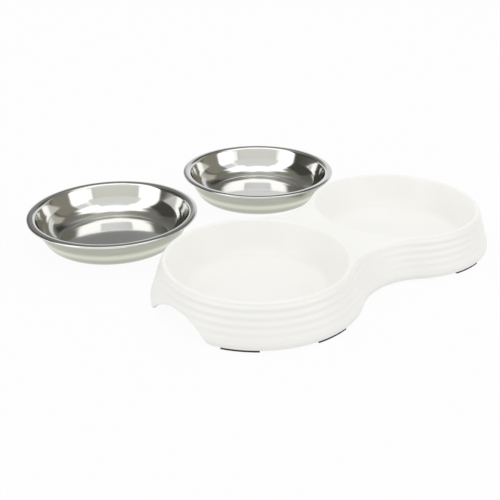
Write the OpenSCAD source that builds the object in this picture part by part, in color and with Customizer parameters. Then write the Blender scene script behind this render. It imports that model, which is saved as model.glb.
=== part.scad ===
// Low twin feeding dish: a white holder with a figure-eight outline and two round wells,
// black rubber strips under its edge, and two pressed steel bowls that drop into the wells.
// Here the bowls are out of the wells and stand on the same surface, behind the holder.

/* [Bowls] */
// Diameter over the flange of a bowl
bowl_d = 130; // [120:1:150]
// Height of a bowl, from its base to the top of its flange
bowl_h = 23; // [20:0.5:30]
// Width of the flange round the mouth
flange_w = 5.7; // [5:0.1:8]
// Thickness of the pressed steel sheet
sheet_t = 0.7; // [0.6:0.1:0.9]
// Depth of the turned-down edge of the flange, from the top of the flange
edge_drop = 1.8; // [1.4:0.1:2.2]
// Radius on the outside of the turned-down edge
edge_round = 0.7; // [0.4:0.1:1]
// Radius where the flange turns into the mouth
mouth_round = 1.2; // [0.6:0.1:2]
// Diameter of the flat middle of the base
base_d = 86; // [70:1:96]
// How sharply the wall turns up from the base
wall_power = 3; // [2:0.1:3.6]

/* [Holder] */
// Wall thickness of the moulding
wall_t = 2.6; // [2:0.1:3.2]
// Radius on both sides of the rim round a well
rim_round = 1.1; // [0.9:0.1:1.3]
// How much further out the skirt stands at its foot than at the rim
skirt_flare = 8.4; // [5:0.1:11]
// Height of the upright band at the foot of the skirt
band_h = 3; // [2:0.1:4]
// Radius on the bottom edge of the skirt
foot_edge_round = 0.5; // [0.3:0.1:0.8]
// Width of the bridge between the two rims, where it is narrowest
bridge_w = 12.4; // [11:0.1:20]
// Width across the waist, at the foot of the skirt
waist_w = 102; // [94:1:112]
// How sharply the wall of a well turns up from its floor
well_power = 3.8; // [3.6:0.1:5]

/* [Ripples] */
// Number of ripples that run round the skirt
ripple_count = 4; // [2:1:6]
// How far the top ripple stands out
ripple_depth = 0.9; // [0.3:0.1:1.2]
// Share of that depth that the lowest ripple has lost
ripple_fade_share = 0.5; // [0:0.1:0.8]

/* [Soft edge of the bridge] */
// Radius that rounds off the bridge at the waist
bridge_round = 10; // [8:0.5:12]
// Share of that radius that the rounding goes down
bridge_depth_share = 0.7; // [0.5:0.05:0.8]
// How far that rounding reaches in over the bridge
bridge_soften = 6; // [4:0.5:7]
// Share of the waist's length that is softened
bridge_len_share = 0.92; // [0.8:0.01:0.96]

/* [Finger arches] */
// Width of the arch at each end, along the foot of the skirt
arch_w = 57; // [40:1:62]
// Height of the arch above the foot of the skirt
arch_h = 13.5; // [8:0.5:15]

/* [Rubber strips] */
// Height that the strips lift the skirt
foot_t = 1.2; // [0.8:0.1:2]
// Width of a strip
foot_w = 2; // [1.6:0.1:2.2]
// Length of a strip along the skirt
foot_len = 24; // [16:1:28]
// Direction of the strips nearer the waist, from the long axis
foot_inner_angle = 90; // [84:1:100]
// Direction of the strips nearer the finger arch, from the long axis
foot_outer_angle = 140; // [132:1:144]

/* [Fits] */
// Air between a bowl's wall and its well
well_gap = 1.2; // [0.8:0.1:2]
// Air between a bowl's base and the floor of its well
floor_gap = 1.3; // [0.8:0.1:3]
// Air between the turned-down edge of a bowl and the outside of the rim
lip_gap = 0.4; // [0.3:0.1:0.8]
// Height of the underside of a well above the foot of the skirt
floor_lift = 1.7; // [0.6:0.1:2.4]

/* [Places of the bowls] */
// Air between the near bowl and the left lobe, level with the flange
near_gap = 12.9; // [6:0.1:40]
// Direction of the near bowl from the middle of the left lobe
near_angle = 99.3; // [95:0.1:120]
// Air between the far bowl and the right lobe, level with the flange
far_gap = 8.1; // [3:0.1:40]
// Direction of the far bowl from the middle of the right lobe
far_angle = 97.2; // [85:0.1:105]

/* [Hidden] */

// Overrun of every cut
over = 1;
// How far inside the lobes' own wall the block between them stops
seam = 0.4;
// Steps in a quarter round, in a swept wall and in one ripple
arc_steps = 5;
wall_steps = 12;
ripple_steps = 8;
$fn = 96;

// Bowls
bowl_r = bowl_d / 2;
body_r = bowl_r - flange_w;
mouth_r = body_r - sheet_t;
base_r = base_d / 2;
flange_z = bowl_h - sheet_t;

// Heights of the holder, from the surface up
well_floor_z = foot_t + floor_lift + wall_t;
holder_h = well_floor_z + floor_gap + flange_z;
bead_z = holder_h - rim_round;
band_z = foot_t + band_h;

// Plan of the holder: two lobes on the X axis, joined by a round fillet on each side
rim_r = bowl_r - sheet_t - lip_gap;
skirt_r = rim_r + skirt_flare;
well_r = body_r + well_gap;
well_floor_r = base_r + well_gap;
lobe_x = rim_r + bridge_w / 2;
fillet_r = (pow(lobe_x, 2) + pow(waist_w / 2, 2) - pow(skirt_r, 2)) / (2 * skirt_r - waist_w);
fillet_y = waist_w / 2 + fillet_r;
reach = skirt_r + fillet_r;
fillet_angle = atan2(fillet_y, lobe_x);
// The block between the lobes stops this share short, just inside where its wall meets theirs
block_share = 1 - seam * reach / (lobe_x * fillet_y);

// Scoop that softens the bridge: a round cut whose middle lies outside the waist
scoop_near_y = fillet_y - (reach - rim_r) - bridge_soften;
scoop_end_x = (lobe_x - rim_r * cos(fillet_angle)) * bridge_len_share;
scoop_end_y = fillet_y - sqrt(pow(reach - rim_r, 2) - pow(scoop_end_x, 2));
scoop_sag = scoop_end_y - scoop_near_y;
scoop_r = (pow(scoop_end_x, 2) + pow(scoop_sag, 2)) / (2 * scoop_sag);
scoop_depth = bridge_round * bridge_depth_share;

// Finger arch as a round cut
arch_r = (pow(arch_w / 2, 2) + pow(arch_h, 2)) / (2 * arch_h);

// Where the bowls stand
near_x = -lobe_x + (bowl_r + near_gap + skirt_radius(flange_z)) * cos(near_angle);
near_y = (bowl_r + near_gap + skirt_radius(flange_z)) * sin(near_angle);
far_x = lobe_x + (bowl_r + far_gap + skirt_radius(flange_z)) * cos(far_angle);
far_y = (bowl_r + far_gap + skirt_radius(flange_z)) * sin(far_angle);

// How far the skirt reaches past the middle of a lobe, beside its finger arch
end_reach = max([for (p = skirt_wall())
    let (half_gap_2 = max(0, pow(arch_r, 2) - pow(p[1] - foot_t - arch_h + arch_r, 2)))
    sqrt(pow(p[0], 2) - half_gap_2)]);

// The origin is the middle of the whole set's footprint
left_x = min(-lobe_x - end_reach, near_x - bowl_r);
right_x = max(lobe_x + end_reach, far_x + bowl_r);
back_y = max(near_y, far_y) + bowl_r;
middle = [(left_x + right_x) / 2, (back_y - skirt_r) / 2, 0];

// Points of a round stretch about [x, z], without the first one
function arc(x, z, r, from, to) = [for (i = [1 : arc_steps])
    let (a = from + (to - from) * i / arc_steps) [x + r * cos(a), z + r * sin(a)]];

// Points of a dished wall that leaves the flat [r0, z0] level and turns up to [r1, z1]
function dish(r0, z0, r1, z1, power) = [for (i = [0 : wall_steps])
    let (s = i / wall_steps) [r0 + (r1 - r0) * s, z0 + (z1 - z0) * pow(s, power)]];

// Points in the opposite order
function turned(points) = [for (i = [len(points) - 1 : -1 : 0]) points[i]];

// Radius of the rippled skirt of a lobe at height z
function skirt_radius(z) =
    let (k = (bead_z - z) / (bead_z - band_z))
    let (depth = ripple_depth * (1 - ripple_fade_share * k))
    rim_r + skirt_flare * k + depth * (1 - cos(360 * ripple_count * k)) / 2;

// Outside of a lobe's half section, from the foot of the skirt up over the rim
function skirt_wall() = concat(
    [[skirt_r - foot_edge_round, foot_t]],
    arc(skirt_r - foot_edge_round, foot_t + foot_edge_round, foot_edge_round, -90, 0),
    [for (i = [0 : ripple_count * ripple_steps])
        let (z = band_z + (bead_z - band_z) * i / (ripple_count * ripple_steps))
        [skirt_radius(z), z]],
    arc(rim_r - rim_round, bead_z, rim_round, 0, 90));

// Outside of the hollow under the holder, one wall inside the skirt
function hollow_wall() = [
    [skirt_r - wall_t, foot_t - over],
    [skirt_r - wall_t, band_z],
    [rim_r - wall_t, bead_z],
    [rim_r - wall_t, holder_h - wall_t]];

// Puts its children on the axis of each lobe
module at_lobes() {
    for (side = [-1, 1])
        translate([side * lobe_x, 0, 0])
            children();
}

// A figure-eight solid: two turned lobes, and between them a block hollowed by the same wall
module figure_eight(wall) {
    low = wall[0][1];
    top = wall[len(wall) - 1][1];
    foot = wall[0][0];
    crest = wall[len(wall) - 1][0];
    at_lobes()
        rotate_extrude()
            polygon(concat([[0, low]], wall, [[0, top]]));
    difference() {
        translate([0, 0, low])
            linear_extrude(top - low)
                polygon(block_share * [[-lobe_x, 0], [0, -fillet_y], [lobe_x, 0], [0, fillet_y]]);
        for (side = [-1, 1])
            translate([0, side * fillet_y, 0])
                rotate_extrude()
                    polygon(concat(
                        [[0, low - over], [reach - foot, low - over]],
                        [for (p = wall) [reach - p[0], p[1]]],
                        [[reach - crest, top + over], [0, top + over]]));
    }
}

// Dished shell of a well, as a solid
module well_shell() {
    rotate_extrude()
        polygon(concat(
            [[0, well_floor_z - wall_t]],
            dish(well_floor_r, well_floor_z - wall_t, well_r + wall_t / 2, bead_z, well_power),
            [[0, bead_z]]));
}

// Room inside a well, up past its rounded rim
module well_room() {
    rotate_extrude()
        polygon(concat(
            [[0, well_floor_z]],
            dish(well_floor_r, well_floor_z, well_r, bead_z, well_power),
            arc(well_r + rim_round, bead_z, rim_round, 180, 90),
            [[well_r + rim_round, holder_h + over], [0, holder_h + over]]));
}

// Round cut that takes the edge off the bridge at the front and at the back
module bridge_scoops() {
    for (side = [0, 1])
        mirror([0, side, 0])
            translate([0, -scoop_near_y - scoop_r, 0])
                rotate_extrude()
                    polygon(concat(
                        [for (i = [0 : arc_steps])
                            let (d = scoop_depth * (1 - i / arc_steps))
                            let (out = sqrt(pow(bridge_round, 2) - pow(bridge_round - d, 2)))
                            [scoop_r - out, holder_h - d]],
                        [[scoop_r, holder_h + over], [0, holder_h + over], [0, holder_h - scoop_depth]]));
}

// Arched opening for the fingers at each end
module finger_arches() {
    for (side = [0, 1])
        mirror([side, 0, 0])
            translate([lobe_x + well_r, 0, foot_t + arch_h - arch_r])
                rotate([0, 90, 0])
                    cylinder(r = arch_r, h = skirt_r - well_r + over, $fn = 180);
}

// The white moulding: skirt, bridge and two wells in one shell
module holder() {
    color("ivory")
        translate(-middle)
            difference() {
                union() {
                    difference() {
                        figure_eight(skirt_wall());
                        figure_eight(hollow_wall());
                    }
                    at_lobes() well_shell();
                }
                at_lobes() well_room();
                bridge_scoops();
                finger_arches();
            }
}

// One pressed steel bowl, on its base
module bowl() {
    color("silver")
        rotate_extrude($fn = 128)
            polygon(concat(
                [[0, 0]],
                dish(base_r, 0, body_r, flange_z, wall_power),
                [[bowl_r - sheet_t, flange_z],
                 [bowl_r - sheet_t, bowl_h - edge_drop],
                 [bowl_r, bowl_h - edge_drop],
                 [bowl_r, bowl_h - edge_round]],
                arc(bowl_r - edge_round, bowl_h - edge_round, edge_round, 0, 90),
                [[mouth_r + mouth_round, bowl_h]],
                arc(mouth_r + mouth_round, bowl_h - mouth_round, mouth_round, 90, 180),
                turned(dish(base_r, sheet_t, mouth_r, bowl_h - mouth_round, wall_power)),
                [[0, sheet_t]]));
}

module bowl_near() {
    translate(-middle) translate([near_x, near_y, 0]) bowl();
}

module bowl_far() {
    translate(-middle) translate([far_x, far_y, 0]) bowl();
}

// One rubber strip under the skirt. Side 0 is left or front, side 1 is right or back.
module foot(right, back, angle) {
    strip_r = skirt_r - wall_t / 2;
    sweep = foot_len / strip_r * 180 / PI;
    color("black")
        translate(-middle)
            mirror([right, 0, 0])
                mirror([0, 1 - back, 0])
                    translate([-lobe_x, 0, 0])
                        rotate([0, 0, angle - sweep / 2])
                            rotate_extrude(angle = sweep)
                                translate([strip_r - foot_w / 2, 0])
                                    square([foot_w, foot_t]);
}

module foot_left_front_outer() { foot(0, 0, foot_outer_angle); }
module foot_left_front_inner() { foot(0, 0, foot_inner_angle); }
module foot_left_back_outer() { foot(0, 1, foot_outer_angle); }
module foot_left_back_inner() { foot(0, 1, foot_inner_angle); }
module foot_right_front_outer() { foot(1, 0, foot_outer_angle); }
module foot_right_front_inner() { foot(1, 0, foot_inner_angle); }
module foot_right_back_outer() { foot(1, 1, foot_outer_angle); }
module foot_right_back_inner() { foot(1, 1, foot_inner_angle); }

holder();
bowl_near();
bowl_far();
foot_left_front_outer();
foot_left_front_inner();
foot_left_back_outer();
foot_left_back_inner();
foot_right_front_outer();
foot_right_front_inner();
foot_right_back_outer();
foot_right_back_inner();
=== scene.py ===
from collections import namedtuple
import math

import bmesh
import bpy
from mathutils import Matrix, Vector

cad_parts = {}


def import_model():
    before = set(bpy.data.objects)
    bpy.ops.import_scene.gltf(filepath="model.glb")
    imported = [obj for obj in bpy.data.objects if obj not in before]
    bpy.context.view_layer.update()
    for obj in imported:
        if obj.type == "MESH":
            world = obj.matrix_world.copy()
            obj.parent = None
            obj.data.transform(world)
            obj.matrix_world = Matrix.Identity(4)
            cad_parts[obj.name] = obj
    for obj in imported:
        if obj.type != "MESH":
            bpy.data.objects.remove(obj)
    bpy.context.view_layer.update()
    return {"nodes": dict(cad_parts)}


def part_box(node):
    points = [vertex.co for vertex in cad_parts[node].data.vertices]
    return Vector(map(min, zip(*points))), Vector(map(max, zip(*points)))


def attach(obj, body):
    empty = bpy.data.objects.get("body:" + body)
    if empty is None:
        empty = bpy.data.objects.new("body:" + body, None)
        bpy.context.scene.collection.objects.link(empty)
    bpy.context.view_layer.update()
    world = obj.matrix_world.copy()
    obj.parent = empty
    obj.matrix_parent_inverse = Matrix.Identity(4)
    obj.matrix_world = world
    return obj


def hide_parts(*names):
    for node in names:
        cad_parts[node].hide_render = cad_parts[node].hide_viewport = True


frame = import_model()

# Sizes of the pieces are in millimetres, and their leans in degrees. Finishes and the studio are in metres.
MM = 0.001
TINY = 1e-9

# A bowl: its radius and height, its sheet, the width of its flange and its flat base
BOWL_R = 65.0
BOWL_Z = 23.0
SHEET = 0.7
FLANGE_W = 5.7
BASE_R = 43.0
BODY_R = BOWL_R - FLANGE_W
FLANGE_Z = BOWL_Z - SHEET

# The outside of a bowl's wall: how sharply it turns up, how far under the flange that curve would reach
# the full radius, and its lean where it runs into the round under the flange
WALL_POWER = 3
WALL_SHORT = 0.5
UNDER_LEAN = 76

# The flange: its rounds at the mouth, under the mouth and at the outer edge, and the crown over it,
# which meets the rounds of the mouth and of the edge at the same lean
MOUTH_ROUND = 3.0
UNDER_ROUND = MOUTH_ROUND - SHEET
FLANGE_ROUND = 0.9
CROWN_R = 9.1
CROWN_LEAN = 12

# The turned-down edge: how far below the top it stays straight, the round inside its bend
# and the round of its end
LIP_DROP = 1.5
LIP_BEND = 0.3
LIP_END = SHEET / 2

# The inside of a bowl: the lean of its wall, the wide corner, and the ring at the corner's foot
WALL_LEAN = 71
CORNER_R = 19.0
RING_R = 2.0
RING_LEAN = 14

# Air between a bowl and the holder: at the wall of the well, at its floor and outside the rim
WELL_GAP = 1.2
FLOOR_GAP = 1.3
LIP_GAP = 0.4

# The holder, seen from its own middle: its wall, the round of a rim and the angle at which it ends in the
# well, how much further out the skirt stands at its foot, the upright band there, the rounds of the foot's
# outer and inner edge, and how sharply the wall of a well turns up
WALL = 2.6
RIM_ROUND = 1.1
RIM_TURN = 172
FLARE = 8.4
BAND_H = 3
EDGE_ROUND = 0.5
INNER_ROUND = 0.3
WELL_POWER = 3.8

# Heights of the holder: the strips under it, and the underside of a well above the foot of the skirt
FOOT_Z = 1.2
FLOOR_LIFT = 1.7
FLOOR_Z = FOOT_Z + FLOOR_LIFT + WALL
TOP_Z = FLOOR_Z + FLOOR_GAP + FLANGE_Z
BEAD_Z = TOP_Z - RIM_ROUND
BAND_Z = FOOT_Z + BAND_H
CEILING_Z = TOP_Z - WALL

# Radii of a lobe, and the radius at which the outer edge of the foot follows a finger arch
RIM_R = BOWL_R - SHEET - LIP_GAP
SKIRT_R = RIM_R + FLARE
WELL_R = BODY_R + WELL_GAP
WELL_EDGE_R = WELL_R + RIM_ROUND
WELL_FLOOR_R = BASE_R + WELL_GAP
ARCH_EDGE_R = SKIRT_R - 1

# Plan of the holder: two lobes beside a bridge, joined by a round fillet on each side of the waist
BRIDGE_W = 12.4
WAIST_W = 102
LOBE_X = RIM_R + BRIDGE_W / 2
FILLET_R = (LOBE_X ** 2 + (WAIST_W / 2) ** 2 - SKIRT_R ** 2) / (2 * SKIRT_R - WAIST_W)
FILLET_Y = WAIST_W / 2 + FILLET_R
REACH = FILLET_R + SKIRT_R
FILLET_ANGLE = math.atan2(FILLET_Y, LOBE_X)
SIDE_ANGLE = math.pi - FILLET_ANGLE

# Ripples round the skirt: how many, how far the top one stands out, and the shares of that depth
# that are lost down at the foot and in the middle of the waist
RIPPLES = 5
RIPPLE_DEPTH = 0.65
RIPPLE_FADE = 0.9
WAIST_FADE = 0.75

# Finger arch at each end: a round cut, and how softly it leaves the level foot
ARCH_W = 57
ARCH_H = 13.5
ARCH_SOFT = 1.2
ARCH_R = ((ARCH_W / 2) ** 2 + ARCH_H ** 2) / (2 * ARCH_H)
ARCH_Z = FOOT_Z + ARCH_H - ARCH_R

# Soft edge of the bridge: its round, how far a round cut from outside the waist reaches in over the bridge,
# and the share of the waist's length that the cut spans
BRIDGE_ROUND = 10
BRIDGE_SOFTEN = 6
BRIDGE_SHARE = 0.92
WAIST_R = REACH - RIM_R
SCOOP_NEAR_Y = FILLET_Y - WAIST_R - BRIDGE_SOFTEN
SCOOP_END_X = (LOBE_X - RIM_R * math.cos(FILLET_ANGLE)) * BRIDGE_SHARE
SCOOP_SAG = FILLET_Y - math.sqrt(WAIST_R ** 2 - SCOOP_END_X ** 2) - SCOOP_NEAR_Y
SCOOP_R = (SCOOP_END_X ** 2 + SCOOP_SAG ** 2) / (2 * SCOOP_SAG)
SCOOP_Y = SCOOP_NEAR_Y + SCOOP_R

# The crest of the skirt begins at this height, and on a fillet each of its points is drawn this often
# halfway to the middle of its neighbours
CREST_Z = 21
SOFTENINGS = 10

# The last point of a well's shell lies at least this far under the ceiling, and the shell meets the
# ceiling this much further out
SHELL_DROP = 0.1
SHELL_OUT = 0.05

# Radius of the round face in the middle of every floor, and how close two points lie to become one
MIDDLE_R = 4
WELD = 0.004

# Steps of the meshes: from a fillet to a finger arch, over the arch, round a fillet, from the front of
# the bridge to its back, up the skirt, along a dished wall before it is evened, and round a bowl,
# and the points that the crest keeps
LOBE_STEPS = 52
ARCH_STEPS = 26
FILLET_STEPS = 26
BRIDGE_STEPS = 56
SKIRT_STEPS = 56
DISH_STEPS = 160
BOWL_STEPS = 240
CREST_POINTS = 34

# Places of the two steels in a bowl's finishes
POLISHED = 0
SATIN = 1

# Where each thing stands on the surface
low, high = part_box("holder")
HOLDER_AT = ((low.x + high.x) / 2 / MM, (low.y + high.y) / 2 / MM)
BOWLS_AT = {}
for bowl_name in ("bowl_near", "bowl_far"):
    low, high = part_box(bowl_name)
    BOWLS_AT[bowl_name] = ((low.x + high.x) / 2 / MM, (low.y + high.y) / 2 / MM)


# Meshes

class Skin:
    """The faces of one piece, gathered sheet by sheet and joined where the sheets meet."""

    def __init__(self, middle):
        self.middle = middle
        self.points = []
        self.faces = []
        self.finishes = []

    def add(self, point):
        """The number of a new point, which is given from the middle of the piece."""
        x, y, z = point
        self.points.append(((x + self.middle[0]) * MM, (y + self.middle[1]) * MM, z * MM))
        return len(self.points) - 1

    def sheet(self, rows, closed=False, finish=0):
        """A grid of points, one list for each row. A closed sheet joins its last column to its first."""
        width = len(rows[0])
        made = [[self.add(point) for point in row] for row in rows]
        for lower, upper in zip(made, made[1:]):
            for i in range(width if closed else width - 1):
                k = (i + 1) % width
                self.faces.append((lower[i], lower[k], upper[k], upper[i]))
                self.finishes.append(finish)

    def disc(self, ring, finish=0):
        """A flat round face that fills a ring of points from its middle."""
        middle = self.add([sum(point[i] for point in ring) / len(ring) for i in range(3)])
        edge = [self.add(point) for point in ring]
        for i in range(len(edge)):
            self.faces.append((edge[i], edge[(i + 1) % len(edge)], middle))
            self.finishes.append(finish)

    def piece(self, name, body, slot, finishes, *nodes):
        """The finished object, as one closed mesh that stands in for its CAD nodes."""
        mesh = bpy.data.meshes.new(name)
        mesh.from_pydata(self.points, [], self.faces)
        mesh.polygons.foreach_set("material_index", self.finishes)
        mesh.polygons.foreach_set("use_smooth", [True] * len(mesh.polygons))
        shape = bmesh.new()
        shape.from_mesh(mesh)
        bmesh.ops.remove_doubles(shape, verts=shape.verts, dist=WELD * MM)
        bmesh.ops.recalc_face_normals(shape, faces=shape.faces)
        shape.to_mesh(mesh)
        shape.free()
        made = bpy.data.objects.new(name, mesh)
        bpy.context.scene.collection.objects.link(made)
        for finish in finishes:
            mesh.materials.append(finish)
        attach(made, body)
        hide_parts(*nodes)


def spaced(start, end, steps):
    """Evenly spaced values, both ends included."""
    return [start + (end - start) * i / steps for i in range(steps + 1)]


def arc(x, z, radius, start, end, steps):
    """Points of a round stretch about (x, z), in degrees, both ends included."""
    return [(x + radius * math.cos(math.radians(a)), z + radius * math.sin(math.radians(a)))
            for a in spaced(start, end, steps)]


def level(z, start, end, steps):
    """Points of a flat at height z, without the first one."""
    return [(r, z) for r in spaced(start, end, steps)[1:]]


def dish(r0, z0, r1, z1, power):
    """Points of a dished wall that leaves the flat (r0, z0) level and turns up to (r1, z1)."""
    return [(r0 + (r1 - r0) * s, z0 + (z1 - z0) * s ** power) for s in spaced(0, 1, DISH_STEPS)]


def evened(line, count):
    """The same line through count points that lie at even distances."""
    lengths = [0]
    for (r0, z0), (r1, z1) in zip(line, line[1:]):
        lengths.append(lengths[-1] + math.hypot(r1 - r0, z1 - z0))
    out, k = [], 0
    for goal in spaced(0, lengths[-1], count - 1):
        while k < len(line) - 2 and lengths[k + 1] < goal:
            k += 1
        share = (goal - lengths[k]) / max(lengths[k + 1] - lengths[k], TINY)
        share = min(max(share, 0), 1)
        out.append((line[k][0] + (line[k + 1][0] - line[k][0]) * share,
                    line[k][1] + (line[k + 1][1] - line[k][1]) * share))
    return out


def turned(line, angles, centre=(0, 0)):
    """Rows of a lathed sheet: each point of the line goes round through the angles, in radians."""
    return [[(centre[0] + r * math.cos(a), centre[1] + r * math.sin(a), z) for a in angles]
            for r, z in line]


def by_row(lines):
    """Rows across lines of one length: the first points of all the lines, then the second ones, and so on."""
    return [list(row) for row in zip(*lines)]


# Holder

# A place on the outline: the point from which its radii are counted, the way out from there,
# the angle off the lobe's end or round the fillet, and whether it lies on a fillet
Column = namedtuple("Column", "foot way angle on_fillet")


def share_down(z):
    """How far a height lies down the way from the bead of the rim to the upright band."""
    return (BEAD_Z - max(z, BAND_Z)) / (BEAD_Z - BAND_Z)


def skirt_radius(z, column):
    """Radius of the skirt at height z. The ripples fade towards the foot and the middle of the waist."""
    down = share_down(z)
    depth = RIPPLE_DEPTH * (1 - RIPPLE_FADE * down)
    if column.on_fillet:
        off_middle = (column.angle - math.pi / 2) / (math.pi / 2 - FILLET_ANGLE)
        depth *= 1 - WAIST_FADE * (1 + math.cos(math.pi * off_middle)) / 2
    return RIM_R + FLARE * down + depth * (1 - math.cos(math.tau * RIPPLES * down)) / 2


def hollow_radius(z):
    """Radius of the hollow inside the skirt at height z."""
    return RIM_R - WALL + FLARE * share_down(z)


def outline():
    """The columns round the figure eight, anticlockwise from the right lobe."""
    kink = math.asin(ARCH_W / 2 / (SKIRT_R - EDGE_ROUND))
    lobe = spaced(-SIDE_ANGLE, -kink, LOBE_STEPS)
    lobe += spaced(-kink, kink, ARCH_STEPS)[1:-1]
    lobe += spaced(kink, SIDE_ANGLE, LOBE_STEPS)
    columns = []
    for right in (1, -1):
        for a in lobe:
            way = (right * math.cos(a), right * math.sin(a))
            columns.append(Column((right * LOBE_X, 0), way, a, False))
        for a in spaced(FILLET_ANGLE, SIDE_ANGLE, FILLET_STEPS)[1:-1]:
            inward = (right * math.cos(a), -right * math.sin(a))
            foot = (REACH * inward[0], right * FILLET_Y + REACH * inward[1])
            columns.append(Column(foot, (-inward[0], -inward[1]), a, True))
    return columns


def place(column, r, z):
    """A point of a column at radius r and height z."""
    return (column.foot[0] + r * column.way[0], column.foot[1] + r * column.way[1], z)


def placed(columns, rows):
    """Rows of (radius, height), one for each column, as rows of points."""
    return [[place(column, r, z) for column, (r, z) in zip(columns, row)] for row in rows]


def arch_height(column, r):
    """Height of the skirt's foot at radius r: level, and lifted over a finger arch."""
    across = r * math.sin(column.angle)
    if column.on_fillet or abs(across) >= ARCH_R:
        return FOOT_Z
    rise = math.sqrt(ARCH_R ** 2 - across ** 2) + ARCH_Z - FOOT_Z
    return FOOT_Z + (rise + math.sqrt(rise ** 2 + ARCH_SOFT ** 2)) / 2


def bridge_height(x, y):
    """Height of the bridge's top: level, and rounded off towards the waist."""
    out = SCOOP_R - math.hypot(x, abs(y) - SCOOP_Y)
    if out <= 0:
        return TOP_Z
    return TOP_Z - BRIDGE_ROUND + math.sqrt(max(BRIDGE_ROUND ** 2 - out ** 2, 0))


def ceiling_height(x, y):
    """Height of the ceiling under the bridge, which is level."""
    return CEILING_Z


def crest(column):
    """The top of the skirt and the rim of one column, up to the edge of the flat beside the well."""
    bead_r = RIM_R - RIM_ROUND
    line = [(skirt_radius(z, column), z) for z in spaced(CREST_Z, BEAD_Z, SKIRT_STEPS)]
    line += arc(bead_r, BEAD_Z, RIM_ROUND, 0, 90, steps=16)[1:]
    line += level(TOP_Z, bead_r, WELL_EDGE_R, steps=12)
    if column.on_fillet:
        line = [(r, min(z, bridge_height(*place(column, r, 0)[:2]))) for r, z in line]
    return evened(line, CREST_POINTS)


def softened(rows, columns):
    """Rows of (radius, height) with the corners beside the bridge eased, on the fillets' columns only."""
    count = len(columns)
    for _ in range(SOFTENINGS):
        fresh = [list(row) for row in rows]
        for j in range(1, len(rows) - 2):
            for i, column in enumerate(columns):
                if column.on_fillet:
                    near = (rows[j - 1][i], rows[j + 1][i], rows[j][i - 1], rows[j][(i + 1) % count])
                    mean = [sum(point[k] for point in near) / len(near) for k in (0, 1)]
                    fresh[j][i] = tuple((here + there) / 2 for here, there in zip(rows[j][i], mean))
        rows = fresh
    return rows


def skirt_rows(columns):
    """Rows of (radius, height) from the outer edge of the foot up through the ripples and over the rim."""
    lines = []
    for column in columns:
        low_z = arch_height(column, ARCH_EDGE_R) + EDGE_ROUND
        line = arc(skirt_radius(low_z, column) - EDGE_ROUND, low_z, EDGE_ROUND, -90, 0, steps=5)
        line += [(skirt_radius(z, column), z) for z in spaced(low_z, CREST_Z, SKIRT_STEPS)[1:-1]]
        lines.append(line)
    crests = by_row([crest(column) for column in columns])
    return by_row(lines) + softened(crests, columns)


def hollow_rows(columns):
    """Rows of (radius, height) over the underside of the foot and up the inside of the skirt."""
    lines = []
    for column in columns:
        outer_z = arch_height(column, ARCH_EDGE_R)
        inner_z = arch_height(column, SKIRT_R - WALL)
        round_r, round_z = hollow_radius(inner_z) + INNER_ROUND, inner_z + INNER_ROUND
        line = [(skirt_radius(outer_z + EDGE_ROUND, column) - EDGE_ROUND, outer_z)]
        line += arc(round_r, round_z, INNER_ROUND, -90, -180, steps=3)
        line += [(hollow_radius(z), z) for z in spaced(round_z, CEILING_Z, steps=12)[1:]]
        lines.append(line)
    return by_row(lines)


def well_line():
    """A well from the flat of its rim down the dished wall and in over the floor."""
    wall = dish(WELL_FLOOR_R, FLOOR_Z, WELL_R, BEAD_Z, WELL_POWER)
    line = arc(WELL_EDGE_R, BEAD_Z, RIM_ROUND, 90, RIM_TURN, steps=7)
    line += evened(wall[::-1], count=40)[1:]
    return line + level(FLOOR_Z, WELL_FLOOR_R, MIDDLE_R, steps=10)


def shell_line():
    """The underside of a well, from the ceiling down and in."""
    under_z = FLOOR_Z - WALL
    wall = dish(WELL_FLOOR_R, under_z, WELL_R + WALL / 2, BEAD_Z, WELL_POWER)
    wall = [point for point in wall if point[1] < CEILING_Z - SHELL_DROP]
    line = [(wall[-1][0] + SHELL_OUT, CEILING_Z)]
    line += evened(wall[::-1], count=18)
    return line + level(under_z, WELL_FLOOR_R, MIDDLE_R, steps=6)


def bridge_patch(skin, ring_r, height):
    """The sheet between the two wells, with its front and back edges on the fillets."""
    waist_r = REACH - ring_r
    front = [(-waist_r * math.cos(a), -FILLET_Y + waist_r * math.sin(a))
             for a in spaced(FILLET_ANGLE, SIDE_ANGLE, FILLET_STEPS)]
    corner_x, corner_y = front[0]
    rows = []
    for a in spaced(-FILLET_ANGLE, FILLET_ANGLE, BRIDGE_STEPS):
        x_end, y_end = LOBE_X - ring_r * math.cos(a), ring_r * math.sin(a)
        turn = -math.sin(a) / math.sin(FILLET_ANGLE)
        rows.append([(x_end * x / abs(corner_x), y_end + turn * (y - corner_y)) for x, y in front])
    skin.sheet([[(x, y, height(x, y)) for x, y in row] for row in rows])


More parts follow.
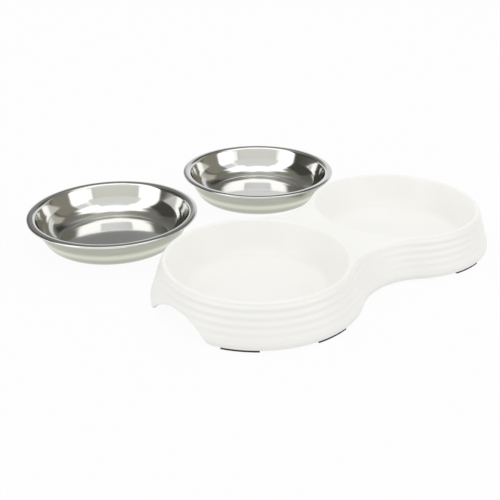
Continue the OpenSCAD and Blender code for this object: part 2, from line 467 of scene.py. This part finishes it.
def holder_skin():
    """The whole white moulding as one closed skin."""
    skin = Skin(HOLDER_AT)
    columns = outline()
    skin.sheet(placed(columns, skirt_rows(columns)), closed=True)
    skin.sheet(placed(columns, hollow_rows(columns)), closed=True)

    # Both wells, above and below, and the narrow ceiling between the skirt's hollow and each shell
    well, shell = well_line(), shell_line()
    hollow_r, shell_r = hollow_radius(CEILING_Z), shell[0][0]
    beside_bridge = spaced(-FILLET_ANGLE, FILLET_ANGLE, BRIDGE_STEPS)[1:-1]
    for right in (1, -1):
        lobe = (right * LOBE_X, 0)
        around = [column for column in columns if not column.on_fillet and column.foot == lobe]
        angles = [math.atan2(column.way[1], column.way[0]) for column in around]
        angles += [a + (math.pi if right > 0 else 0) for a in beside_bridge]
        for line in (well, shell):
            skin.sheet(turned(line, angles, lobe), closed=True)
            skin.disc(turned(line[-1:], angles, lobe)[0])
        skin.sheet([[place(column, r, CEILING_Z) for column in around] for r in (hollow_r, shell_r)])

    # Bridge between the wells, the ceiling under it, and the ceiling's edge along each fillet
    bridge_patch(skin, WELL_EDGE_R, bridge_height)
    bridge_patch(skin, shell_r, ceiling_height)
    for front in (False, True):
        waist = [column for column in columns if (column.way[1] < 0) == front
                 and (column.on_fillet or abs(abs(column.angle) - SIDE_ANGLE) < TINY)]
        waist.sort(key=lambda column: column.foot[0])
        skin.sheet([[place(column, r, CEILING_Z) for column in waist] for r in (hollow_r, shell_r)])
    return skin


# Bowls

def inside_line(mouth_r, mouth_z):
    """The polished inside of a bowl from its mouth down: wall, wide round corner, ring and flat floor."""
    lean, ring = math.radians(WALL_LEAN), math.radians(RING_LEAN)
    ring_z = SHEET + RING_R * (1 - math.cos(ring))
    corner_z = ring_z + CORNER_R * (math.cos(ring) - math.cos(lean))
    corner_r = mouth_r - (mouth_z - corner_z) / math.tan(lean)
    ring_r = corner_r - CORNER_R * (math.sin(lean) - math.sin(ring))
    floor_r = ring_r - RING_R * math.sin(ring)
    centre_r = corner_r - CORNER_R * math.sin(lean)
    centre_z = corner_z + CORNER_R * math.cos(lean)
    line = [(mouth_r + (corner_r - mouth_r) * s, mouth_z + (corner_z - mouth_z) * s)
            for s in spaced(0, 1, steps=12)]
    line += arc(centre_r, centre_z, CORNER_R, WALL_LEAN - 90, RING_LEAN - 90, steps=52)[1:]
    line += arc(floor_r, SHEET + RING_R, RING_R, RING_LEAN - 90, -90, steps=8)[1:]
    return line + level(SHEET, floor_r, MIDDLE_R, steps=8)


def outside_line():
    """The satin outside of a bowl, from its base up under the flange and round the end of its edge."""
    lean = math.radians(UNDER_LEAN)
    wall_z = FLANGE_Z - UNDER_ROUND * (1 - math.cos(lean))
    wall_r = BASE_R + (BODY_R - BASE_R) * (wall_z / (FLANGE_Z - WALL_SHORT)) ** (1 / WALL_POWER)
    under_r = wall_r + UNDER_ROUND * math.sin(lean)
    bend_r = BOWL_R - SHEET - LIP_BEND
    lip_z = BOWL_Z - LIP_DROP
    line = [(r, 0) for r in spaced(MIDDLE_R, BASE_R, steps=8)[:-1]]
    line += evened(dish(BASE_R, 0, wall_r, wall_z, WALL_POWER), count=36)
    line += arc(under_r, FLANGE_Z - UNDER_ROUND, UNDER_ROUND, 90 + UNDER_LEAN, 90, steps=10)[1:]
    line += level(FLANGE_Z, under_r, bend_r, steps=4)
    line += arc(bend_r, FLANGE_Z - LIP_BEND, LIP_BEND, 90, 0, steps=3)[1:]
    line += [(BOWL_R - SHEET, lip_z)]
    return line + arc(BOWL_R - LIP_END, lip_z, LIP_END, 180, 360, steps=8)[1:]


def top_line():
    """The line from the end of the turned-down edge over the crowned flange and down the inside."""
    lean = math.radians(CROWN_LEAN)
    crown_z = BOWL_Z - CROWN_R
    edge_r = BOWL_R - FLANGE_ROUND
    edge_z = crown_z + (CROWN_R - FLANGE_ROUND) * math.cos(lean)
    crown_r = edge_r - (CROWN_R - FLANGE_ROUND) * math.sin(lean)
    round_r = crown_r - (CROWN_R - MOUTH_ROUND) * math.sin(lean)
    round_z = crown_z + (CROWN_R - MOUTH_ROUND) * math.cos(lean)
    line = [(BOWL_R, BOWL_Z - LIP_DROP)]
    line += arc(edge_r, edge_z, FLANGE_ROUND, 0, 90 - CROWN_LEAN, steps=8)
    line += arc(crown_r, crown_z, CROWN_R, 90 - CROWN_LEAN, 90 + CROWN_LEAN, steps=10)[1:]
    line += arc(round_r, round_z, MOUTH_ROUND, 90 + CROWN_LEAN, 90 + WALL_LEAN, steps=12)[1:]
    return line + inside_line(*line[-1])[1:]


def bowl_skin(centre):
    """One pressed steel bowl: satin outside, polished inside."""
    skin = Skin(centre)
    angles = spaced(0, math.tau, BOWL_STEPS)[:-1]
    outside, top = outside_line(), top_line()
    skin.sheet(turned(outside, angles), closed=True, finish=SATIN)
    skin.sheet(turned(top, angles), closed=True, finish=POLISHED)
    skin.disc(turned(outside[:1], angles)[0], finish=SATIN)
    skin.disc(turned(top[-1:], angles)[0], finish=POLISHED)
    return skin


# Finishes

class Wire:
    """A node's output. Arithmetic on it adds Math nodes."""

    def __init__(self, board, socket):
        self.board = board
        self.socket = socket

    def math(self, operation, *others, **settings):
        """A Math node of this output and others."""
        settings["operation"] = operation
        return self.board.node("ShaderNodeMath", settings, dict(enumerate((self, *others))))

    def __add__(self, other):
        return self.math("ADD", other)

    def __sub__(self, other):
        return self.math("SUBTRACT", other)

    def __mul__(self, other):
        return self.math("MULTIPLY", other)

    def __rsub__(self, other):
        return self.board.node("ShaderNodeMath", {"operation": "SUBTRACT"}, {0: other, 1: self})

    __radd__ = __add__
    __rmul__ = __mul__


class Board:
    """The nodes of one material or world."""

    def __init__(self, tree):
        self.tree = tree

    def node(self, kind, settings=None, inputs=None, output=0):
        """Any node: its settings are set first, then its values and links. Gives one of its outputs."""
        made = self.tree.nodes.new(kind)
        for key, value in (settings or {}).items():
            setattr(made, key, value)
        for key, value in (inputs or {}).items():
            self.feed(made.inputs[key], value)
        return Wire(self, made.outputs[output])

    def feed(self, socket, value):
        """Links a wire to an input, or sets the input to a value or a colour."""
        if isinstance(value, Wire):
            self.tree.links.new(value.socket, socket)
        elif isinstance(value, tuple) and len(value) == 3 and socket.type == "RGBA":
            socket.default_value = (*value, 1)
        else:
            socket.default_value = value

    def spread(self, value, given, wanted=(0, 1)):
        """A value of the given stretch, spread over the wanted one."""
        return self.node("ShaderNodeMapRange", {"clamp": True}, {
            "Value": value, "From Min": given[0], "From Max": given[1],
            "To Min": wanted[0], "To Max": wanted[1]})

    def seen(self):
        """1 where the camera sees a thing straight or in gloss or glass, and 0 for the light it throws."""
        path = [self.node("ShaderNodeLightPath", output=name)
                for name in ("Is Camera Ray", "Is Glossy Ray", "Is Transmission Ray")]
        return (path[0] + path[1]).math("ADD", path[2], use_clamp=True)


class Finish(Board):
    """A node material with one Principled BSDF."""

    def __init__(self, name, **values):
        self.material = bpy.data.materials.new(name)
        self.material.use_nodes = True
        super().__init__(self.material.node_tree)
        self.surface = self.tree.nodes["Principled BSDF"]
        self.set(**values)

    def set(self, **values):
        """Feeds inputs of the surface, whose names have underscores for spaces."""
        for name, value in values.items():
            self.feed(self.surface.inputs[name.replace("_", " ")], value)

    def where(self):
        """The place on the piece, in metres."""
        return self.node("ShaderNodeTexCoord", output="Object")

    def noise(self, scale, detail, roughness=0.5, stretch=(1, 1, 1)):
        """Noise over the place on the piece, which is stretched first."""
        spot = self.node("ShaderNodeMapping", {"vector_type": "POINT"},
                         {"Vector": self.where(), "Scale": stretch})
        return self.node("ShaderNodeTexNoise", {"noise_dimensions": "3D"},
                         {"Vector": spot, "Scale": scale, "Detail": detail, "Roughness": roughness})

    def mix(self, share, first, second):
        """The first colour, and by its share the second."""
        return self.node("ShaderNodeMix", {"data_type": "RGBA"}, {0: share, 6: first, 7: second}, output=2)

    def bump(self, height, depth, strength):
        """A bump whose height of 1 stands depth metres proud."""
        return self.node("ShaderNodeBump", None, {"Strength": strength, "Distance": depth, "Height": height})


def white_plastic():
    """Warm white moulding: satin gloss, with a faint grain and soft handling marks."""
    plastic = Finish("white_plastic", IOR=1.5)
    cloud = plastic.noise(scale=14, detail=3)
    grain = plastic.noise(scale=900, detail=2)
    scuffs = plastic.noise(scale=160, detail=4, roughness=0.6, stretch=(1, 3, 1))
    cream = (0.910, 0.903, 0.873)
    white = (0.924, 0.918, 0.894)
    dull = (0.86, 0.855, 0.83)
    worn = plastic.spread(scuffs, (0.58, 0.75))
    clean = plastic.mix(plastic.spread(cloud, (0.35, 0.65)), cream, white)
    plastic.set(Base_Color=plastic.mix(worn * 0.15, clean, dull))
    plastic.set(Roughness=plastic.spread(cloud, (0.3, 0.7), (0.34, 0.42)) + worn * 0.06)
    plastic.set(Normal=plastic.bump(grain, depth=0.00002, strength=0.5))
    return plastic.material


def polished_steel():
    """Mirror-polished sheet, a little cloudy and smeared."""
    steel = Finish("polished_steel", Metallic=1.0, Base_Color=(0.78, 0.775, 0.76))
    cloud = steel.noise(scale=30, detail=3)
    smear = steel.noise(scale=220, detail=3, roughness=0.6, stretch=(1, 1, 0.2))
    gloss = steel.spread(cloud, (0.3, 0.7), (0.07, 0.1))
    steel.set(Roughness=gloss + steel.spread(smear, (0.5, 0.8), (0, 0.02)))
    return steel.material


def satin_steel():
    """The outside of the sheet, satin from the press, with a painted highlight: one bright ring low on the
    wall. Its dark olive tone is partly the steel's own and partly a painted reflection of a dim floor.
    """
    steel = Finish("satin_steel", Metallic=1.0)
    cloud = steel.noise(scale=40, detail=3)
    brushed = steel.noise(scale=60, detail=3, roughness=0.6, stretch=(1, 1, 22))
    # The sheet's satin tones: partly the steel's own colour, and partly a painted reflection of a dim floor,
    # which makes them darker and olive
    dark = (0.43, 0.44, 0.375)
    light = (0.465, 0.475, 0.41)
    # The colour of the painted highlight ring
    bright = (0.72, 0.74, 0.63)
    height = steel.node("ShaderNodeSeparateXYZ", None, {"Vector": steel.where()}, output=2)
    # Painted highlight: a bright ring between about 5.5 and 12.5 mm up the wall, standing in for a reflection
    # of the floor
    painted_highlight_ring = steel.spread(height, (0.0055, 0.0085)) * steel.spread(height, (0.0098, 0.0125), (1, 0))
    sheet = steel.mix(steel.spread(brushed, (0.35, 0.65)), dark, light)
    steel.set(Base_Color=steel.mix(painted_highlight_ring * 0.85, sheet, bright))
    steel.set(Roughness=steel.spread(cloud, (0.3, 0.7), (0.2, 0.26)))
    steel.set(Normal=steel.bump(brushed, depth=0.00001, strength=0.15))
    return steel.material


def black_rubber():
    """Matt black rubber with a fine open grain."""
    rubber = Finish("black_rubber")
    grain = rubber.noise(scale=1400, detail=3)
    dust = rubber.noise(scale=120, detail=3)
    black = (0.018, 0.018, 0.018)
    dusty = (0.035, 0.034, 0.033)
    rubber.set(Base_Color=rubber.mix(rubber.spread(dust, (0.4, 0.7)), black, dusty))
    rubber.set(Roughness=rubber.spread(grain, (0.3, 0.7), (0.7, 0.85)))
    rubber.set(Normal=rubber.bump(grain, depth=0.00006, strength=0.6))
    return rubber.material


# The pieces

plastic = white_plastic()
steels = (polished_steel(), satin_steel())
rubber = black_rubber()

holder_skin().piece("holder_moulding", "holder", "holder_plastic", (plastic,), "holder")
for bowl_name, centre in BOWLS_AT.items():
    bowl_skin(centre).piece(bowl_name + "_sheet", bowl_name, "bowl_steel", steels, bowl_name)
for name, node in frame["nodes"].items():
    if name.startswith("foot_"):
        node.data.materials.clear()
        node.data.materials.append(rubber)


# Studio

# Half the width of the floor, how far it lies under the strips, so that the two never share a face,
# and the share of plain white in the colour that it shows
FLOOR_HALF = 6
FLOOR_DROP = 0.0002
FLOOR_WHITE = 0.95

# The dome: its middle, its radius and its steps, and the direction of azimuth 0, clockwise from +Y
DOME_MIDDLE = Vector((-0.01, 0.07, 0.02))
DOME_R = 2.5
DOME_AZIMUTHS = 240
DOME_ELEVATIONS = 60
DOME_TURN = 221.12

# The camera as it was fitted to the photograph: its place, how far it looks down and is turned from +Y,
# and its focal length in pixels of a picture of this width
CAMERA_AT = (-0.38307, -0.42931, 0.26868)
LOOK_DOWN = 25.853
LOOK_TURN = -41.122
FOCAL_LENGTH = 811.8
PICTURE_WIDTH = 500
SENSOR_WIDTH = 36

# What polished steel shows of the studio: a bright ceiling, and each of these over the ones before it.
# Each has a stretch of azimuth and of elevation in degrees, its colour, and how soft its sides and its
# top and foot are, in degrees. Azimuth 0 lies towards the camera, and it grows to the camera's right.
CEILING = (1.6, 1.6, 1.58)
STUDIO = {
    "side_light_right": ((50, 112), (28, 50), (0.78, 0.82, 0.80), (20, 10)),
    "grey_screen": ((-35, 38), (-9, 65), (0.82, 0.84, 0.86), (1.5, 14)),
    "grey_screen_foot": ((-35, 38), (-9, 28), (0.68, 0.67, 0.60), (1.5, 22)),
    "screen_frame": ((36, 39), (-9, 50), (0.42, 0.42, 0.38), (1.5, 8)),
    "screen_shoulder": ((-42, 49), (17, 52), (0.80, 0.81, 0.77), (9, 14)),
    "ceiling_end": ((112, 256), (-9, 77), (0.30, 0.30, 0.26), (20, 16)),
    "back_wall_top": ((92, 284), (-9, 60), (0.20, 0.20, 0.17), (14, 12)),
    "back_wall": ((78, 289), (-9, 44), (0.125, 0.121, 0.098), (5, 12)),
    "back_wall_middle": ((160, 208), (45, 83), (0.50, 0.50, 0.47), (24, 16)),
    "back_wall_foot": ((150, 215), (-9, 50), (0.17, 0.175, 0.17), (30, 14)),
    "back_wall_left": ((238, 289), (8, 46), (0.06, 0.06, 0.05), (6, 12)),
    "back_wall_right": ((78, 112), (-9, 44), (0.26, 0.245, 0.20), (5, 10)),
    "pillar_right": ((118, 140), (-9, 42), (0.50, 0.475, 0.41), (8, 8)),
    "door_right": ((150, 172), (31, 43), (0.05, 0.05, 0.04), (6, 6)),
    "low_middle": ((180, 203), (-9, 30), (0.26, 0.265, 0.26), (10, 8)),
    "low_wall": ((132, 176), (-9, 25), (0.78, 0.80, 0.81), (8, 3)),
    "low_wall_end": ((150, 186), (-9, 24), (0.78, 0.80, 0.81), (12, 4)),
    "far_foot": ((128, 232), (-9, 16), (0.90, 0.91, 0.89), (10, 6)),
    "low_left": ((262, 289), (-9, 5), (0.42, 0.40, 0.34), (3, 3)),
    "low_right": ((78, 105), (-9, 4), (0.42, 0.39, 0.32), (3, 3)),
}


def studio_mesh(name, points, faces):
    """A plain mesh of the studio, as an object of the scene."""
    mesh = bpy.data.meshes.new(name)
    mesh.from_pydata(points, [], faces)
    made = bpy.data.objects.new(name, mesh)
    bpy.context.scene.collection.objects.link(made)
    return made


def floor():
    """A wide white floor that keeps a faint shadow."""
    half = FLOOR_HALF
    made = studio_mesh("floor", [(-half, -half, 0), (half, -half, 0), (half, half, 0), (-half, half, 0)],
                       [(0, 1, 2, 3)])
    made.location.z = -FLOOR_DROP
    paper = Finish("floor_paper", Base_Color=(0.72, 0.72, 0.72), Roughness=1.0, Specular_IOR_Level=0.0)
    glow = paper.node("ShaderNodeEmission", None, {"Color": (1, 1, 1), "Strength": 1.0})
    lit = paper.node("ShaderNodeMixShader", None, {
        0: paper.seen() * FLOOR_WHITE, 1: Wire(paper, paper.surface.outputs[0]), 2: glow})
    paper.feed(paper.tree.nodes["Material Output"].inputs["Surface"], lit)
    made.data.materials.append(paper.material)


def world():
    """White surroundings that light the object evenly, a touch more from the sides than from above."""
    made = bpy.data.worlds.new("studio")
    made.use_nodes = True
    bpy.context.scene.world = made
    board = Board(made.node_tree)
    back = made.node_tree.nodes["Background"]
    back.inputs["Color"].default_value = (1, 1, 1, 1)
    way = board.node("ShaderNodeTexCoord", output="Generated")
    height = board.node("ShaderNodeSeparateXYZ", None, {"Vector": way}, output=2)
    sky = board.spread(height, (0, 0.7), (1.06, 0.98))
    seen = board.seen()
    board.feed(back.inputs["Strength"], seen + (1 - seen) * sky)


def soft_share(value, stretch, soft):
    """1 inside a stretch and 0 outside, with soft ends."""
    inside = min(value - stretch[0], stretch[1] - value) / soft + 0.5
    inside = min(max(inside, 0), 1)
    return inside * inside * (3 - 2 * inside)


def studio_colour(azimuth, elevation):
    """What the steel shows in one direction."""
    colour = CEILING
    for azimuths, elevations, paint, soft in STUDIO.values():
        around = max(soft_share(azimuth + turn, azimuths, soft[0]) for turn in (0, 360))
        share = around * soft_share(elevation, elevations, soft[1])
        colour = [a + (b - a) * share for a, b in zip(colour, paint)]
    return colour


def surround():
    """A painted dome that shows in gloss alone and throws no light."""
    azimuths = spaced(-180, 180, DOME_AZIMUTHS)[:-1]
    elevations = spaced(0, 90, DOME_ELEVATIONS)
    points, colours, faces = [], [], []
    for elevation in elevations:
        flat, up = math.cos(math.radians(elevation)), math.sin(math.radians(elevation))
        for azimuth in azimuths:
            turn = math.radians(DOME_TURN - azimuth)
            points.append(DOME_MIDDLE + DOME_R * Vector((math.sin(turn) * flat, math.cos(turn) * flat, up)))
            colours += [*studio_colour(azimuth, elevation), 1]
    for low_row in range(0, DOME_ELEVATIONS * DOME_AZIMUTHS, DOME_AZIMUTHS):
        high_row = low_row + DOME_AZIMUTHS
        for i in range(DOME_AZIMUTHS):
            k = (i + 1) % DOME_AZIMUTHS
            faces.append((low_row + i, low_row + k, high_row + k, high_row + i))
    made = studio_mesh("surround", points, faces)
    made.data.color_attributes.new("paint", "FLOAT_COLOR", "POINT").data.foreach_set("color", colours)
    paint = Finish("surround_paint", Base_Color=(0, 0, 0), Specular_IOR_Level=0.0, Emission_Strength=1.0)
    paint.set(Emission_Color=paint.node("ShaderNodeVertexColor", {"layer_name": "paint"}))
    made.data.materials.append(paint.material)
    made.visible_camera = False
    made.visible_diffuse = False
    made.visible_transmission = False
    made.visible_volume_scatter = False
    made.visible_shadow = False


def lamp(name, place, aim, size, power):
    """A square soft lamp at a place, turned to its aim."""
    light = bpy.data.lights.new(name, "AREA")
    light.shape = "SQUARE"
    light.size = size
    light.energy = power
    made = bpy.data.objects.new(name, light)
    made.location = place
    made.rotation_euler = (Vector(aim) - Vector(place)).to_track_quat("-Z", "Y").to_euler()
    bpy.context.scene.collection.objects.link(made)
    made.visible_camera = False
    made.visible_glossy = False


def camera():
    """The camera at the photograph's viewpoint."""
    lens = bpy.data.cameras.new("camera")
    lens.sensor_width = SENSOR_WIDTH
    lens.lens = FOCAL_LENGTH / PICTURE_WIDTH * SENSOR_WIDTH
    lens.clip_start = 0.01
    made = bpy.data.objects.new("camera", lens)
    made.location = CAMERA_AT
    made.rotation_euler = (math.radians(90 - LOOK_DOWN), 0, math.radians(LOOK_TURN))
    bpy.context.scene.collection.objects.link(made)
    bpy.context.scene.camera = made


floor()
world()
surround()
lamp("overhead", place=(0.1, 0.0, 1.2), aim=(0, 0, 0), size=1.2, power=1.2)
camera()

scene = bpy.context.scene
scene.view_settings.view_transform = "Standard"
